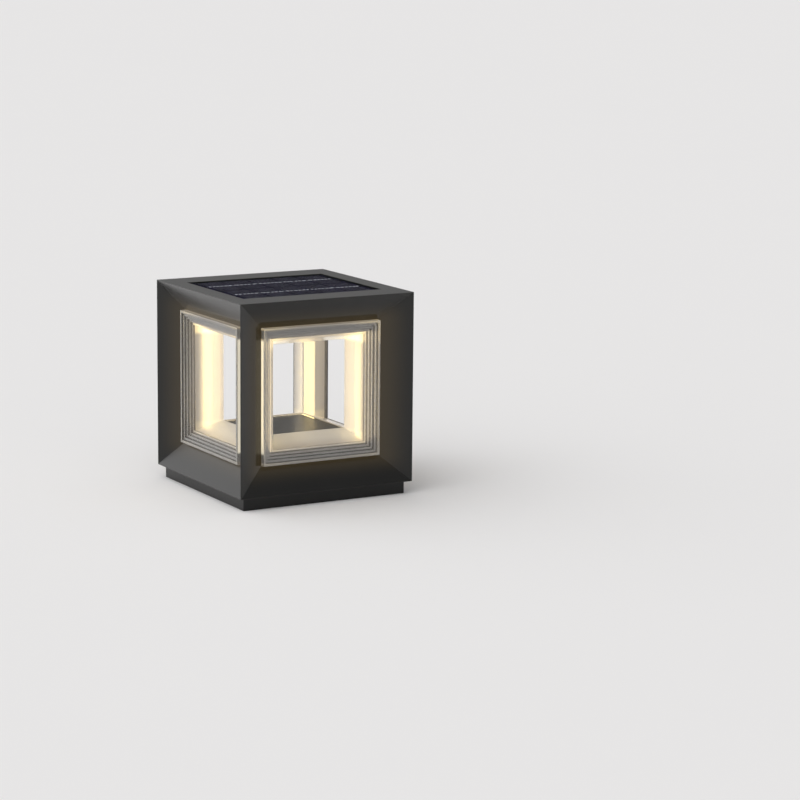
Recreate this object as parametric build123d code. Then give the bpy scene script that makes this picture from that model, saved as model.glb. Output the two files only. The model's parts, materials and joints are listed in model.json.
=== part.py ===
import math
import os
from build123d import *

os.makedirs("parts", exist_ok=True)

# Solar cube light for a pillar or post, in millimetres.
# The origin is the middle of the underside, +Z is up, the front window faces -Y.

# Cube and foot
body_size = 200.0            # width, depth and height of the cube
plinth_height = 13.5         # height of the low foot under the cube
plinth_inset = 6.2           # how far the foot stands back from the cube's sides
plinth_wall = 3.2            # wall of the foot's skirt

# Bevelled window frames
roof_border = 28.85          # height of the bevels on the roof and the base, seen square on
post_border = 32.35          # width of the bevels on the posts, seen square on
bevel_depth = 18.0           # how far the bevel's inner edge lies behind the face
edge_land = 0.6              # flat strip left along the roof's and the base's edges
casting_wall = 2.8           # wall behind the bevels
pan_wall = 3.0               # flat walls of the roof and the base

# Clear stepped lenses
lens_proud = 6.0             # how far the rim stands out from the bevel's inner edge
lens_wall = 2.5              # wall of the lens
lens_rim_depth = 11.0        # length of the rim's side wall, front to back
step_count = 5               # steps from the rim down to the tunnel
step_width = 2.9
step_depth = 2.1
tunnel_draft = 5.9           # how much the tunnel's sides close in on their way to the cavity

# Floor and ceiling of the lantern cavity
plate_thickness = 2.5
plate_setback = 0.5          # plate edges stay this far behind the lens rims
plate_land = 2.0             # least width of plate outside a tube's hole
plateau_drop = 2.0           # the raised middle stays this far below the lens edges
plateau_gap = 0.35           # joint round the raised middle
boss_inset = 6.2             # ceiling screws, from the sides of the raised middle
floor_boss_inset = 11.5      # floor screws, from the sides of the raised middle
boss_diameter = 7.0
screw_diameter = 3.0         # small screws
screw_head_diameter = 6.0
screw_head_height = 2.0
screw_grip = 10.0            # thread length inside a boss
screw_relief = 1.0           # depth of a screw's hole past its end
head_round_share = 0.45      # rounded edge of a screw head, as a share of its height
slot_length_share = 0.6      # cross slot, as a share of the head's diameter
slot_width_share = 0.4       # cross slot, as a share of the head's height

# Corner light tubes
tube_diameter = 14.0
tube_wall = 1.5
tube_overrun = 8.5           # how far a tube runs on past the tunnel's front edges
socket_wall = 0.95
socket_floor = 2.0
socket_gap = 0.4             # between a socket and the post's inner corner, along X and along Y
led_board_width = 8.0
led_board_thickness = 1.2
led_board_setback = 2.0      # light board, from the tube's axis towards the post
led_count = 9                # light chips on one board
led_pitch = 12.0
led_length = 3.5
led_width = 2.8
led_height = 0.8

# Solar panel in the roof
panel_length = 159.0         # along X
panel_width = 132.0          # along Y
recess_depth = 3.4
panel_drop = 0.1             # the glass lies this far below the roof's top
backsheet_thickness = 2.0
gasket_width = 0.8
gasket_height = 3.2
cell_rows = 2
cell_columns = 5
cell_length = 59.4           # along Y
cell_width = 27.4            # along X
cell_gap_x = 1.9
cell_gap_y = 2.6
cell_thickness = 0.25
ribbon_width = 2.0
ribbon_thickness = 0.2
ribbon_overrun = 2.4         # ribbons run on past the last cells
cell_pocket_margin = 1.6     # room round the cells under the glass
cell_pocket_gap = 0.15       # room over the ribbons under the glass

# Corner tie bolts, which clamp the foot, base, posts and roof together
tie_offset = 16.5            # bolt axis, from the cube's sides
tie_diameter = 4.0
tie_head_diameter = 8.0
tie_head_height = 4.0
tie_socket_width = 3.0       # hexagon in the head, across its flats
tie_socket_depth = 2.0
tie_grip = 8.0               # thread length inside the roof
tie_boss_diameter = 10.5
lug_thickness = 3.0          # corner lugs inside the foot
lug_reach = 22.0             # lug's legs along the skirt

# Mounting plate inside the foot
mount_spacing = 130.0        # four wall plug holes on a square
mount_hole_diameter = 6.5
mount_thickness = 3.0
mount_clearance = 1.0        # room between the plate and the skirt
tab_offset = 45.0            # tabs, from the middle along X
tab_width = 18.0
tab_thickness = 3.4
tab_height = 10.0            # top of the tabs above the ground
hook_reach = 2.6             # front lips, over the skirt's ledges
hook_thickness = 2.4
ledge_height = 3.0
grub_diameter = 4.0
grub_height = 6.5            # axis of the two rear screws
grub_socket_width = 2.0
grub_socket_depth = 2.3
grub_recess = 0.6            # the screws end this far inside the skirt's face

# Push switch in the middle of the ceiling
switch_flange_diameter = 16.0
switch_flange_height = 1.6
switch_flange_round = 0.8
switch_body_diameter = 12.0
switch_body_height = 21.0    # above the flange
switch_seal_height = 0.6
switch_seal_inset = 0.5      # the seal's edge, inside the flange's
switch_nut_width = 15.0      # across its flats
switch_nut_height = 2.6
button_diameter = 8.0
button_proud = 2.6           # out of the flange at rest
button_travel = 1.8
button_length = 11.0
button_round = 0.8
button_head_room = 1.0       # over the pressed button
collar_diameter = 9.4        # keeps the button in
collar_height = 2.0
collar_drop = 4.2            # collar's seat, above the flange's face
button_dish = 0.5            # depth of the hollow in the button's face
button_dish_diameter = 4.8
terminal_width = 1.6
terminal_thickness = 0.8
terminal_height = 4.0
terminal_spacing = 5.0

# Battery and control board over the ceiling
battery_diameter = 18.4
battery_length = 65.0
holder_wall = 1.3
holder_floor = 2.0
holder_end = 5.0             # spring contact ends
holder_side_share = 0.62     # height of the holder's sides, as a share of the cell
holder_gap = 1.2             # between the holder and the switch's nut
board_width = 28.0
board_length = 56.0
board_thickness = 1.6
board_gap = 1.8              # between the board and the switch's nut
board_standoff = 5.0
standoff_diameter = 5.6
board_hole_inset = 3.5
board_screw_diameter = 2.4
board_screw_head = 4.6
board_screw_head_height = 1.6
board_screw_grip = 4.0       # thread length inside a standoff
plug_size = 6.0              # square lead connectors on the board
plug_height = 6.0
coil_size = 8.0
coil_height = 4.5
coil_chamfer = 1.2
chip_length = 6.0
chip_width = 5.0
chip_height = 1.6
capacitor_diameter = 6.3
capacitor_height = 8.0

# Places on the control board, as shares of its half width and half length
led_plug_places = {
    "front_left": (-0.68, -0.6),
    "front_right": (0.68, -0.45),
    "rear_left": (-0.68, 0.6),
    "rear_right": (0.68, 0.45),
}
battery_plug_place = (-0.68, 0.36)
switch_plug_place = (-0.68, -0.3)
panel_plug_place = (0.0, 0.69)
coil_place = (0.0, -0.38)
chip_places = [(0.0, 0.1), (0.6, 0.0)]
capacitor_place = (0.1, -0.8)

# Inner leads
lead_diameter = 2.0
lead_bend = 5.0              # bend radius
led_lead_rise = 14.0         # height of the light leads over the connectors
short_lead_rise = 9.0        # height of the battery lead over the connectors
panel_lead_rise = 7.0        # height of the panel lead over the connectors
battery_lead_share = 0.35    # where the battery lead leaves the holder, as a share of the cell
panel_hole_x = 8.0           # panel lead's way through the roof
panel_hole_y = 50.0

# Clearances
fit_gap = 0.15               # between pieces that slot into each other
slide_gap = 0.3              # round the moving button
hole_gap = 0.25              # round screw shanks
thread_gap = 0.1             # between a thread and its hole
cut_overrun = 1.0            # cuts run on this far past the faces that they open

# Worked out from the sizes above
half = body_size / 2
mid = plinth_height + half
top = plinth_height + body_size
opening_half = half - post_border            # half a window's width
opening_rise = half - roof_border            # half a window's height
mitre_slope = roof_border / post_border      # of the joints between posts, roof and base
post_land = edge_land / mitre_slope          # flat strip left along the posts' edges
bevel_inner = half - bevel_depth

rim_half = opening_half - fit_gap
rim_rise = opening_rise - fit_gap
rim_front = bevel_inner + lens_proud
rim_back = rim_front - lens_rim_depth
steps_width = step_count * step_width
tunnel_half = rim_half - steps_width
tunnel_rise = rim_rise - steps_width
tunnel_front = rim_front - step_count * step_depth
cavity_half = tunnel_half - tunnel_draft     # the cavity is as high as it is wide

plate_half = rim_back - plate_setback
plate_near = tunnel_rise + lens_wall + fit_gap    # from the cube's middle to a plate
plate_far = plate_near + plate_thickness
plateau_half = cavity_half - plateau_gap
plateau_face = cavity_half + plateau_drop    # from the cube's middle to the raised middle
plateau_inner = plateau_face + plate_thickness

# A tube stands close to the post's inner corner, and inside the plates with some land round it
socket_diameter = tube_diameter + 2 * (fit_gap + socket_wall)
tube_hole = tube_diameter + 4 * fit_gap
tube_from_post = opening_half - socket_gap - socket_diameter / 2 * math.cos(math.radians(45))
tube_from_plate = plate_half - plate_land - tube_hole / 2
tube_axis = min(tube_from_post, tube_from_plate)
tube_half = tunnel_rise + tube_overrun
boss_offset = plateau_half - boss_inset
floor_boss_offset = plateau_half - floor_boss_inset
tie_axis = half - tie_offset

roof_wall_top = top - recess_depth
roof_wall_under = roof_wall_top - pan_wall
base_wall_top = plinth_height + pan_wall

nut_radius = switch_nut_width / math.sqrt(3)
holder_half = battery_diameter / 2 + fit_gap + holder_wall
battery_x = -(nut_radius + holder_gap + holder_half)
board_x = nut_radius + board_gap + board_width / 2

ceiling_inside = mid + plateau_inner
ceiling_face = mid + plateau_face
board_under = ceiling_inside + board_standoff
board_top = board_under + board_thickness
plug_top = board_top + plug_height

corners = {
    "front_left": (-1, -1),
    "front_right": (1, -1),
    "rear_left": (-1, 1),
    "rear_right": (1, 1),
}
faces = {"front": 0, "right": 90, "rear": 180, "left": 270}


def save(name, shape):
    solids = shape.solids()
    body = solids[0] if len(solids) == 1 else Compound(children=list(solids))
    export_step(body, f"parts/{name}.step")


def rod(x, y, low, high, diameter):
    return Pos(x, y, (low + high) / 2) * Cylinder(diameter / 2, high - low)


def block(x_range, y_range, z_range):
    spans = (x_range, y_range, z_range)
    centre = [(low + high) / 2 for low, high in spans]
    size = [high - low for low, high in spans]
    return Pos(*centre) * Box(*size)


def slab(half_x, half_y, low, high):
    return block((-half_x, half_x), (-half_y, half_y), (low, high))


def hexagon_bar(x, y, low, high, across_flats):
    outline = RegularPolygon(across_flats / math.sqrt(3), 6)
    return extrude(Pos(x, y, low) * outline, high - low)


def together(shapes):
    return Compound(children=[solid for shape in shapes for solid in shape.solids()])


def at_corners(offset):
    return [(sx * offset, sy * offset) for sx, sy in corners.values()]


# Bevelled cube with its four windows, cut later into roof, posts and base
def bevel_mouth(angle):
    outer = Plane.XZ.offset(half) * Rectangle(2 * (half - post_land), 2 * (half - edge_land))
    inner = Plane.XZ.offset(bevel_inner) * Rectangle(2 * opening_half, 2 * opening_rise)
    return Rot(0, 0, angle) * (Pos(0, 0, mid) * loft([outer, inner]))


def bevelled_cube():
    cube = slab(half, half, plinth_height, top)
    low, high = mid - opening_rise, mid + opening_rise
    cube -= slab(half + cut_overrun, opening_half, low, high)
    cube -= slab(opening_half, half + cut_overrun, low, high)
    for angle in faces.values():
        cube -= bevel_mouth(angle)
    return cube


# Space of one corner post, which ends above and below in two mitres from the cube's to the windows' corners
def post_zone(sx, sy):
    reach = half + cut_overrun
    outer = half + mitre_slope * cut_overrun
    inner = half - mitre_slope * half
    outline = [(0, inner), (reach, outer), (reach, -outer), (0, -inner)]
    along_x = [(sx * a, b) for a, b in outline]
    along_y = [(sy * a, b) for a, b in outline]
    wedge_x = extrude(Plane.XZ * make_face(Polyline(*along_x, close=True)), reach, both=True)
    wedge_y = extrude(Plane.YZ * make_face(Polyline(*along_y, close=True)), reach, both=True)
    return Pos(0, 0, mid) * (wedge_x & wedge_y)


# Hollow of the roof or base, which follows the bevels: half its width at a height over the middle
def hollow_half(height):
    slope = bevel_depth / (roof_border - edge_land)
    side_wall = casting_wall * math.sqrt(1 + slope ** 2)
    return bevel_inner + slope * (height - opening_rise) - side_wall


def pan_hollow(depth_from_middle):
    sections = []
    for height in (opening_rise - cut_overrun, depth_from_middle):
        width = 2 * hollow_half(height)
        sections.append(Pos(0, 0, height) * Rectangle(width, width))
    return loft(sections)


cube = bevelled_cube()
zones = {name: post_zone(*signs) for name, signs in corners.items()}
upper_half = slab(half, half, mid, top)
lower_half = slab(half, half, plinth_height, mid)
tie_top = roof_wall_under - fit_gap
tie_hole = tie_diameter + 2 * hole_gap


def corner_posts():
    for name, (sx, sy) in corners.items():
        post = cube & zones[name]
        x, y = sx * tie_axis, sy * tie_axis
        save(f"post_{name}", post - rod(x, y, plinth_height, top, tie_hole))


def roof_frame():
    roof = cube & upper_half
    hollow = Pos(0, 0, mid) * pan_hollow(roof_wall_under - mid)
    for x, y in at_corners(tie_axis):
        hollow -= rod(x, y, mid, top, tie_boss_diameter)
    roof -= hollow
    for zone in zones.values():
        roof -= zone
    margin = gasket_width + fit_gap
    roof -= slab(panel_length / 2 + margin, panel_width / 2 + margin, roof_wall_top, top)
    for x, y in at_corners(boss_offset):
        roof += rod(x, y, ceiling_inside, roof_wall_under, boss_diameter)
        thread = screw_diameter + 2 * thread_gap
        roof -= rod(x, y, ceiling_inside, ceiling_inside + screw_grip + screw_relief, thread)
    for x, y in at_corners(tie_axis):
        roof -= rod(x, y, mid, tie_top, tie_diameter + 2 * thread_gap)
    lead_hole = lead_diameter + 2 * hole_gap
    roof -= rod(panel_hole_x, panel_hole_y, roof_wall_under - cut_overrun, top, lead_hole)
    save("roof_frame", roof)


def base_frame():
    base = cube & lower_half
    hollow = Pos(0, 0, mid) * (Rot(180, 0, 0) * pan_hollow(mid - base_wall_top))
    for x, y in at_corners(tie_axis):
        hollow -= rod(x, y, 0, mid, tie_boss_diameter)
    base -= hollow
    for zone in zones.values():
        base -= zone
    for x, y in at_corners(tie_axis):
        base -= rod(x, y, 0, mid, tie_hole)
    for x, y in at_corners(floor_boss_offset):
        base -= rod(x, y, 0, base_wall_top + cut_overrun, screw_diameter + 2 * hole_gap)
    save("base_frame", base)


# Sheets across a window, at a distance from the lamp's axis: one follows the rim, one the square cavity
def rim_sheet(inset, distance):
    return Plane.XZ.offset(distance) * Rectangle(2 * (rim_half - inset), 2 * (rim_rise - inset))


def cavity_sheet(wall):
    side = 2 * (cavity_half + wall)
    return Plane.XZ.offset(cavity_half + wall + fit_gap) * Rectangle(side, side)


def rim_block(inset, back, front):
    return extrude(rim_sheet(inset, back), front - back)


# One lens: a stepped flange with a deep rim, then a tunnel that narrows to the cavity
def lens_ring():
    back_slope = step_depth / step_width
    back_start = rim_front - lens_wall * (1 + back_slope)
    outer_inset = steps_width - lens_wall
    back_end = back_start - back_slope * (outer_inset - lens_wall)
    ring = rim_block(0, rim_back, rim_front) - rim_block(lens_wall, rim_back, back_start)
    ring += loft([rim_sheet(lens_wall, back_start), rim_sheet(outer_inset, back_end)])
    ring += loft([rim_sheet(outer_inset, back_end), cavity_sheet(lens_wall)])
    ring += loft([cavity_sheet(lens_wall), cavity_sheet(0)])
    for step in range(1, step_count + 1):
        ring -= rim_block(step * step_width, rim_front - step * step_depth, rim_front)
    ring -= loft([rim_sheet(steps_width, tunnel_front), cavity_sheet(0)])
    return Pos(0, 0, mid) * ring


def lenses():
    ring = lens_ring()
    for name, angle in faces.items():
        save(f"lens_{name}", Rot(0, 0, angle) * ring)


# Floor and ceiling share one pressed shape, drawn upwards from the cube's middle
def cavity_plate():
    plate = slab(plate_half, plate_half, plate_near, plate_far)
    plate += slab(plateau_half, plateau_half, plateau_face, plate_far)
    inner = plateau_half - plate_thickness
    plate -= slab(inner, inner, plateau_inner, plate_far)
    notch = opening_half - 2 * fit_gap
    for sx, sy in corners.values():
        x_range = sorted((sx * notch, sx * half))
        y_range = sorted((sy * notch, sy * half))
        plate -= block(x_range, y_range, (plate_near, plate_far))
    for x, y in at_corners(tube_axis):
        plate -= rod(x, y, plate_near, plate_far, tube_hole)
    return plate


def board_holes():
    x_half = board_width / 2 - board_hole_inset
    y_half = board_length / 2 - board_hole_inset
    return [(board_x + sx * x_half, sy * y_half) for sx, sy in corners.values()]


def ceiling_plate():
    plate = Pos(0, 0, mid) * cavity_plate()
    low, high = ceiling_face - cut_overrun, ceiling_inside + cut_overrun
    for x, y in at_corners(boss_offset):
        plate -= rod(x, y, low, high, screw_diameter + 2 * hole_gap)
    plate -= rod(0, 0, low, high, switch_body_diameter + 2 * fit_gap)
    for x, y in board_holes():
        plate += rod(x, y, ceiling_inside, board_under, standoff_diameter)
        plate -= rod(x, y, ceiling_inside, board_under, board_screw_diameter + 2 * thread_gap)
    save("ceiling_plate", plate)


def floor_plate():
    plate = Pos(0, 0, mid) * (Rot(180, 0, 0) * cavity_plate())
    floor_under = mid - plateau_inner
    for x, y in at_corners(floor_boss_offset):
        plate += rod(x, y, base_wall_top, floor_under, boss_diameter)
        thread = screw_diameter + 2 * thread_gap
        plate -= rod(x, y, base_wall_top, base_wall_top + screw_grip + screw_relief, thread)
    save("floor_plate", plate)


# Pan head screw with a cross slot, seated on a flat face and pointing up or down
def pan_screw(x, y, seat, length, diameter, head_diameter, head_height, direction):
    head = Pos(0, 0, -head_height / 2) * Cylinder(head_diameter / 2, head_height)
    head = fillet(head.edges().sort_by(Axis.Z)[0], head_height * head_round_share)
    slot = Box(head_diameter * slot_length_share, head_height * slot_width_share, head_height)
    slot += Rot(0, 0, 90) * slot
    head -= Pos(0, 0, -head_height) * slot
    screw = head + Pos(0, 0, length / 2) * Cylinder(diameter / 2, length)
    return Pos(x, y, seat) * (screw if direction > 0 else Rot(180, 0, 0) * screw)


def plate_screws():
    length = plate_thickness + screw_grip
    size = (screw_diameter, screw_head_diameter, screw_head_height)
    spots = at_corners(boss_offset)
    save("ceiling_screws", together(pan_screw(x, y, ceiling_face, length, *size, 1) for x, y in spots))
    length = pan_wall + screw_grip
    spots = at_corners(floor_boss_offset)
    save("floor_screws", together(pan_screw(x, y, plinth_height, length, *size, 1) for x, y in spots))


# Corner lights: frosted tube, sockets at both ends, light board with its chips
def light_tubes():
    chips = []
    upper_sockets = []
    lower_sockets = []
    bore = tube_diameter - 2 * tube_wall
    for name, (sx, sy) in corners.items():
        x, y = sx * tube_axis, sy * tube_axis
        tube = rod(x, y, mid - tube_half, mid + tube_half, tube_diameter)
        tube -= rod(x, y, mid - tube_half, mid + tube_half, bore)
        save(f"light_tube_{name}", tube)

        facing = math.degrees(math.atan2(-sy, -sx))
        frame = Pos(x, y, mid) * Rot(0, 0, facing)
        board_middle = -led_board_setback - led_board_thickness / 2
        size = (led_board_thickness, led_board_width, 2 * tube_half)
        save(f"led_board_{name}", frame * (Pos(board_middle, 0, 0) * Box(*size)))
        for index in range(led_count):
            height = (index - (led_count - 1) / 2) * led_pitch
            chip = Box(led_height, led_width, led_length)
            chips.append(frame * (Pos(led_height / 2 - led_board_setback, 0, height) * chip))

        end = mid + tube_half
        socket = rod(x, y, mid + plate_far, end + socket_floor, socket_diameter)
        socket -= rod(x, y, mid + plate_far, end, tube_diameter + 2 * fit_gap)
        upper_sockets.append(socket)
        end = mid - tube_half
        socket = rod(x, y, end - socket_floor, mid - plate_far, socket_diameter)
        socket -= rod(x, y, end, mid - plate_far, tube_diameter + 2 * fit_gap)
        lower_sockets.append(socket)
    save("led_chips", together(chips))
    save("upper_tube_sockets", together(upper_sockets))
    save("lower_tube_sockets", together(lower_sockets))


# Solar panel: backsheet, cells with their ribbons, glass over them, gasket round the edge
def solar_panel():
    half_x, half_y = panel_length / 2, panel_width / 2
    sheet_top = roof_wall_top + backsheet_thickness
    save("panel_backsheet", slab(half_x, half_y, roof_wall_top, sheet_top))

    pitch_x = cell_width + cell_gap_x
    pitch_y = cell_length + cell_gap_y
    cell_top = sheet_top + cell_thickness
    cells = []
    ribbons = []
    cells_half_x = (cell_columns * pitch_x - cell_gap_x) / 2
    cells_half_y = (cell_rows * pitch_y - cell_gap_y) / 2
    ribbon_half = cells_half_x + ribbon_overrun
    for row in range(cell_rows):
        y = (row - (cell_rows - 1) / 2) * pitch_y
        for column in range(cell_columns):
            x = (column - (cell_columns - 1) / 2) * pitch_x
            cells.append(Pos(x, y, 0) * slab(cell_width / 2, cell_length / 2, sheet_top, cell_top))
        ribbon_top = cell_top + ribbon_thickness
        ribbons.append(Pos(0, y, 0) * slab(ribbon_half, ribbon_width / 2, cell_top, ribbon_top))
    save("solar_cells", together(cells))
    save("cell_ribbons", together(ribbons))

    glass = slab(half_x, half_y, sheet_top, top - panel_drop)
    pocket_x = ribbon_half + cell_pocket_margin
    pocket_y = cells_half_y + cell_pocket_margin
    pocket_top = cell_top + ribbon_thickness + cell_pocket_gap
    save("solar_glass", glass - slab(pocket_x, pocket_y, sheet_top, pocket_top))

    gasket_top = roof_wall_top + gasket_height
    gasket = slab(half_x + gasket_width, half_y + gasket_width, roof_wall_top, gasket_top)
    save("panel_gasket", gasket - slab(half_x, half_y, roof_wall_top, gasket_top))


# Long bolts from the foot's lugs up through base and posts into the roof
def tie_bolts():
    bolts = []
    lug_under = plinth_height - lug_thickness
    head_under = lug_under - tie_head_height
    for x, y in at_corners(tie_axis):
        bolt = rod(x, y, head_under, lug_under, tie_head_diameter)
        bolt -= hexagon_bar(x, y, head_under, head_under + tie_socket_depth, tie_socket_width)
        mitre = mid + tie_axis
        bolts.append(bolt + rod(x, y, lug_under, mitre + tie_grip, tie_diameter))
    save("tie_bolts", together(bolts))


skirt_half = half - plinth_inset
skirt_inner = skirt_half - plinth_wall
mount_half = skirt_inner - mount_clearance
tab_face = mount_half - tab_thickness
hook_back = mount_half - hook_reach


def plinth_skirt():
    skirt = slab(skirt_half, skirt_half, 0, plinth_height)
    skirt -= slab(skirt_inner, skirt_inner, 0, plinth_height)
    for sx, sy in corners.values():
        x_range = sorted((sx * (skirt_inner - lug_reach), sx * skirt_inner))
        y_range = sorted((sy * (skirt_inner - lug_reach), sy * skirt_inner))
        skirt += block(x_range, y_range, (plinth_height - lug_thickness, plinth_height))
    for x, y in at_corners(tie_axis):
        skirt -= rod(x, y, 0, plinth_height, tie_hole)
    hook_under = tab_height - hook_thickness
    ledge_top = hook_under - 2 * fit_gap
    for side in (-1, 1):
        x_range = (side * tab_offset - tab_width / 2, side * tab_offset + tab_width / 2)
        ledge_range = (-skirt_inner, -(hook_back + 2 * fit_gap))
        skirt += block(x_range, ledge_range, (ledge_top - ledge_height, ledge_top))
        hole = Cylinder(grub_diameter / 2 + hole_gap, plinth_wall + 2 * cut_overrun)
        middle = skirt_half - plinth_wall / 2
        skirt -= Pos(side * tab_offset, middle, grub_height) * (Rot(90, 0, 0) * hole)
    save("plinth_skirt", skirt)


def mounting_plate():
    plate = slab(mount_half, mount_half, 0, mount_thickness)
    for x, y in at_corners(mount_spacing / 2):
        plate -= rod(x, y, 0, mount_thickness, mount_hole_diameter)
    for side in (-1, 1):
        x_range = (side * tab_offset - tab_width / 2, side * tab_offset + tab_width / 2)
        plate += block(x_range, (-hook_back, tab_thickness - hook_back), (mount_thickness, tab_height))
        plate += block(x_range, (-mount_half, -hook_back), (tab_height - hook_thickness, tab_height))
        plate += block(x_range, (tab_face, mount_half), (mount_thickness, tab_height))
        thread = Cylinder(grub_diameter / 2 + thread_gap, tab_thickness + 2 * cut_overrun)
        middle = tab_face + tab_thickness / 2
        plate -= Pos(side * tab_offset, middle, grub_height) * (Rot(90, 0, 0) * thread)
    save("mounting_plate", plate)


def plinth_screws():
    screws = []
    end = skirt_half - grub_recess
    for side in (-1, 1):
        length = end - tab_face
        screw = Cylinder(grub_diameter / 2, length)
        socket = extrude(RegularPolygon(grub_socket_width / math.sqrt(3), 6), grub_socket_depth)
        screw -= Pos(0, 0, length / 2 - grub_socket_depth) * socket
        screw = Rot(-90, 0, 0) * screw
        screws.append(Pos(side * tab_offset, tab_face + length / 2, grub_height) * screw)
    save("plinth_screws", together(screws))


# Push switch: fixed body with its seal and nut, and the button that slides up into it
def push_switch():
    seal_under = ceiling_face - switch_seal_height
    flange_under = seal_under - switch_flange_height
    body_top = seal_under + switch_body_height
    shoulder = flange_under + collar_drop
    chamber_top = flange_under + button_length - button_proud + button_travel + button_head_room

    body = rod(0, 0, flange_under, seal_under, switch_flange_diameter)
    rim = body.edges().filter_by(GeomType.CIRCLE).sort_by(Axis.Z)[0]
    body = fillet(rim, switch_flange_round)
    body += rod(0, 0, seal_under, body_top, switch_body_diameter)
    body -= rod(0, 0, flange_under, shoulder, button_diameter + 2 * slide_gap)
    body -= rod(0, 0, shoulder, chamber_top, collar_diameter + 2 * slide_gap)
    for side in (-1, 1):
        x = side * terminal_spacing / 2
        size = Box(terminal_width, terminal_thickness, terminal_height)
        body += Pos(x, 0, body_top + terminal_height / 2) * size
    save("switch_body", body)

    seal = rod(0, 0, seal_under, ceiling_face, switch_flange_diameter - 2 * switch_seal_inset)
    save("switch_seal", seal - rod(0, 0, seal_under, ceiling_face, switch_body_diameter + 2 * fit_gap))

    nut_top = ceiling_inside + switch_nut_height
    nut = hexagon_bar(0, 0, ceiling_inside, nut_top, switch_nut_width)
    bore = rod(0, 0, ceiling_inside, nut_top, switch_body_diameter + 2 * thread_gap)
    save("switch_nut", nut - bore)

    face = flange_under - button_proud
    button = rod(0, 0, face, face + button_length, button_diameter)
    edge = button.edges().filter_by(GeomType.CIRCLE).sort_by(Axis.Z)[0]
    button = fillet(edge, button_round)
    collar_under = shoulder + slide_gap
    button += rod(0, 0, collar_under, collar_under + collar_height, collar_diameter)
    dish_radius = (button_dish_diameter / 2) ** 2 / (2 * button_dish) + button_dish / 2
    button -= Pos(0, 0, face + button_dish - dish_radius) * Sphere(dish_radius)
    save("power_button", button)


# Battery cell in its open holder
def battery():
    axis_height = ceiling_inside + holder_floor + battery_diameter / 2
    cell = Rot(90, 0, 0) * Cylinder(battery_diameter / 2, battery_length)
    save("battery_cell", Pos(battery_x, 0, axis_height) * cell)

    half_y = battery_length / 2 + fit_gap + holder_end
    side_top = ceiling_inside + holder_floor + battery_diameter * holder_side_share
    end_top = ceiling_inside + holder_floor + battery_diameter
    holder = slab(holder_half, half_y, ceiling_inside, end_top)
    inner = holder_half - holder_wall
    cell_room = battery_length / 2 + fit_gap
    cradle = slab(inner, cell_room, ceiling_inside + holder_floor - fit_gap, end_top)
    open_top = slab(holder_half, cell_room, side_top, end_top)
    save("battery_holder", Pos(battery_x, 0, 0) * (holder - cradle - open_top))


# Point on the control board, from its place there
def on_board(across, along):
    return board_x + across * board_width / 2, along * board_length / 2


# Connectors on the control board, each at the end of its lead
led_plugs = {name: on_board(*place) for name, place in led_plug_places.items()}
battery_plug = on_board(*battery_plug_place)
switch_plug = on_board(*switch_plug_place)
panel_plug = on_board(*panel_plug_place)


def control_board():
    half_x, half_y = board_width / 2, board_length / 2
    board = block((board_x - half_x, board_x + half_x), (-half_y, half_y), (board_under, board_top))
    holes = board_holes()
    for x, y in holes:
        board -= rod(x, y, board_under, board_top, board_screw_diameter + 2 * hole_gap)
    save("controller_board", board)

    plugs = [*led_plugs.values(), battery_plug, switch_plug, panel_plug]
    plug = Box(plug_size, plug_size, plug_height)
    pieces = [Pos(x, y, board_top + plug_height / 2) * plug for x, y in plugs]
    save("board_connectors", together(pieces))

    coil = Box(coil_size, coil_size, coil_height)
    coil = chamfer(coil.edges().filter_by(Axis.Z), coil_chamfer)
    chip = Box(chip_length, chip_width, chip_height)
    can = Cylinder(capacitor_diameter / 2, capacitor_height)
    pieces = [
        Pos(*on_board(*coil_place), board_top + coil_height / 2) * coil,
        Pos(*on_board(*capacitor_place), board_top + capacitor_height / 2) * can,
    ]
    for place in chip_places:
        pieces.append(Pos(*on_board(*place), board_top + chip_height / 2) * chip)
    save("board_components", together(pieces))

    length = board_thickness + board_screw_grip
    size = (board_screw_diameter, board_screw_head, board_screw_head_height)
    save("board_screws", together(pan_screw(x, y, board_top, length, *size, -1) for x, y in holes))


# Lead with rounded bends, from one connector to another
def lead(points):
    path = FilletPolyline(*points, radius=lead_bend)
    start = Plane(path @ 0, z_dir=path % 0)
    return sweep(start * Circle(lead_diameter / 2), path=path)


def inner_leads():
    rise = plug_top + led_lead_rise
    socket_top = mid + tube_half + socket_floor
    leads = []
    for name, (x, y) in led_plugs.items():
        sx, sy = corners[name]
        far_x, far_y = sx * tube_axis, sy * tube_axis
        route = [(x, y, plug_top), (x, y, rise), (far_x, far_y, rise), (far_x, far_y, socket_top)]
        leads.append(lead(route))
    save("led_leads", together(leads))

    x, y = panel_plug
    rise = plug_top + panel_lead_rise
    start = (panel_hole_x, panel_hole_y, roof_wall_top)
    route = [start, (panel_hole_x, panel_hole_y, rise), (x, y, rise), (x, y, plug_top)]
    save("panel_lead", lead(route))

    x, y = battery_plug
    holder_side = battery_x + holder_half
    height = ceiling_inside + holder_floor + battery_diameter * battery_lead_share
    bend_x = (holder_side + x) / 2
    rise = plug_top + short_lead_rise
    route = [(holder_side, y, height), (bend_x, y, height), (bend_x, y, rise)]
    route += [(x, y, rise), (x, y, plug_top)]
    save("battery_lead", lead(route))

    x, y = switch_plug
    seal_under = ceiling_face - switch_seal_height
    body_top = seal_under + switch_body_height
    rise = max(body_top, plug_top) + short_lead_rise
    route = [(0, 0, body_top), (0, 0, rise), (x, y, rise), (x, y, plug_top)]
    save("switch_lead", lead(route))


corner_posts()
roof_frame()
base_frame()
lenses()
ceiling_plate()
floor_plate()
plate_screws()
light_tubes()
solar_panel()
tie_bolts()
plinth_skirt()
mounting_plate()
plinth_screws()
push_switch()
battery()
control_board()
inner_leads()
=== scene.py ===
import json
import math

import bmesh
import bpy
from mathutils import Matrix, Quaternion, Vector


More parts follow.
